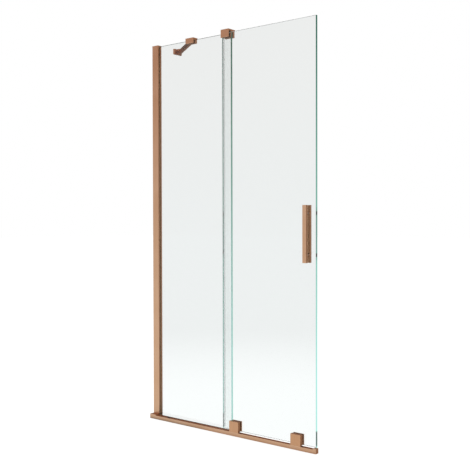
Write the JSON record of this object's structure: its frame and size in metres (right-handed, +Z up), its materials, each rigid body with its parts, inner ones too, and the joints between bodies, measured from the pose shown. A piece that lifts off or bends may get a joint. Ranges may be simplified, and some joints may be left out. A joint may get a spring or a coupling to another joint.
{
  "type": "sliding bath screen",
  "caption": "Frameless two-pane bath screen: a fixed pane in a wall profile and a pane that slides along a bottom rail, with a top guide, support arm and bar handle.",
  "frame": {"origin": "corner of the wall plane and the bath rim, on the fixed pane's mid-plane", "axes": "+X out from the wall along the bath rim, +Y towards the bather's side (the arm's side), +Z up; the rail and the front of the carriages face -Y"},
  "size_m": [0.8, 0.192, 1.514],
  "materials": {
    "clear_glass": "clear toughened glass with green edges",
    "brushed_copper_profile": "brushed copper colour, satin",
    "brushed_copper_fitting": "brushed copper plate, satin",
    "mill_aluminium": "mill finish",
    "screw_steel": "stainless",
    "bearing_steel": "ground steel",
    "roller_nylon": "white nylon",
    "dark_nylon": "dark low-friction plastic",
    "dark_gasket": "dark glazing rubber",
    "setting_rubber": "black rubber",
    "clear_seal": "clear flexible plastic"
  },
  "bodies": {
    "fixed_screen": {"arm_clamp_pads": "setting_rubber", "arm_clamp_screws": "screw_steel", "arm_glass_clamp": "brushed_copper_fitting", "arm_pivot_pins": "screw_steel", "arm_wall_plate": "brushed_copper_fitting", "bottom_rail": "brushed_copper_profile", "channel_lock_screws": "screw_steel", "channel_top_cap": "brushed_copper_profile", "fixed_glass": "clear_glass", "glass_channel": "brushed_copper_profile", "glazing_gasket_front": "dark_gasket", "glazing_gasket_rear": "dark_gasket", "guide_block": "brushed_copper_fitting", "guide_clamp_pad": "setting_rubber", "guide_grub_screws": "screw_steel", "guide_liners": "dark_nylon", "rail_end_cap": "brushed_copper_fitting", "rail_fixing_screws": "screw_steel", "rail_stops": "setting_rubber", "rail_wall_block": "brushed_copper_fitting", "setting_blocks": "setting_rubber", "sill_channel": "brushed_copper_profile", "support_arm": "brushed_copper_fitting", "wall_channel": "mill_aluminium"},
    "sliding_door": {"handle_collars": "brushed_copper_fitting", "handle_front_bar": "brushed_copper_fitting", "handle_rear_bar": "brushed_copper_fitting", "handle_screws": "screw_steel", "handle_washers": "clear_seal", "left_carriage_clamp_plate": "brushed_copper_fitting", "left_carriage_housing": "brushed_copper_fitting", "left_carriage_pads": "setting_rubber", "left_carriage_screws": "screw_steel", "left_roller_axle": "screw_steel", "overlap_seal": "clear_seal", "right_carriage_clamp_plate": "brushed_copper_fitting", "right_carriage_housing": "brushed_copper_fitting", "right_carriage_pads": "setting_rubber", "right_carriage_screws": "screw_steel", "right_roller_axle": "screw_steel", "sliding_glass": "clear_glass"},
    "left_roller": {"left_roller_bearing": "bearing_steel", "left_roller_tyre": "roller_nylon"},
    "right_roller": {"right_roller_bearing": "bearing_steel", "right_roller_tyre": "roller_nylon"}
  },
  "joints": [
    {"name": "door_slide", "type": "slide", "parent": "fixed_screen", "child": "sliding_door", "axis": [-1, 0, 0], "range_m": [0, 0.33]},
    {"name": "left_roller_spin", "type": "hinge", "parent": "sliding_door", "child": "left_roller", "pos_m": [0.4384, -0.02325, 0.0238], "axis": [0, -1, 0], "range_deg": [0, 1720]},
    {"name": "right_roller_spin", "type": "hinge", "parent": "sliding_door", "child": "right_roller", "pos_m": [0.716, -0.02325, 0.0238], "axis": [0, -1, 0], "range_deg": [0, 1720]}
  ],
  "couplings": [
    {"joint": "left_roller_spin", "follows": "door_slide", "rad_per_m": 90.909},
    {"joint": "right_roller_spin", "follows": "door_slide", "rad_per_m": 90.909}
  ]
}
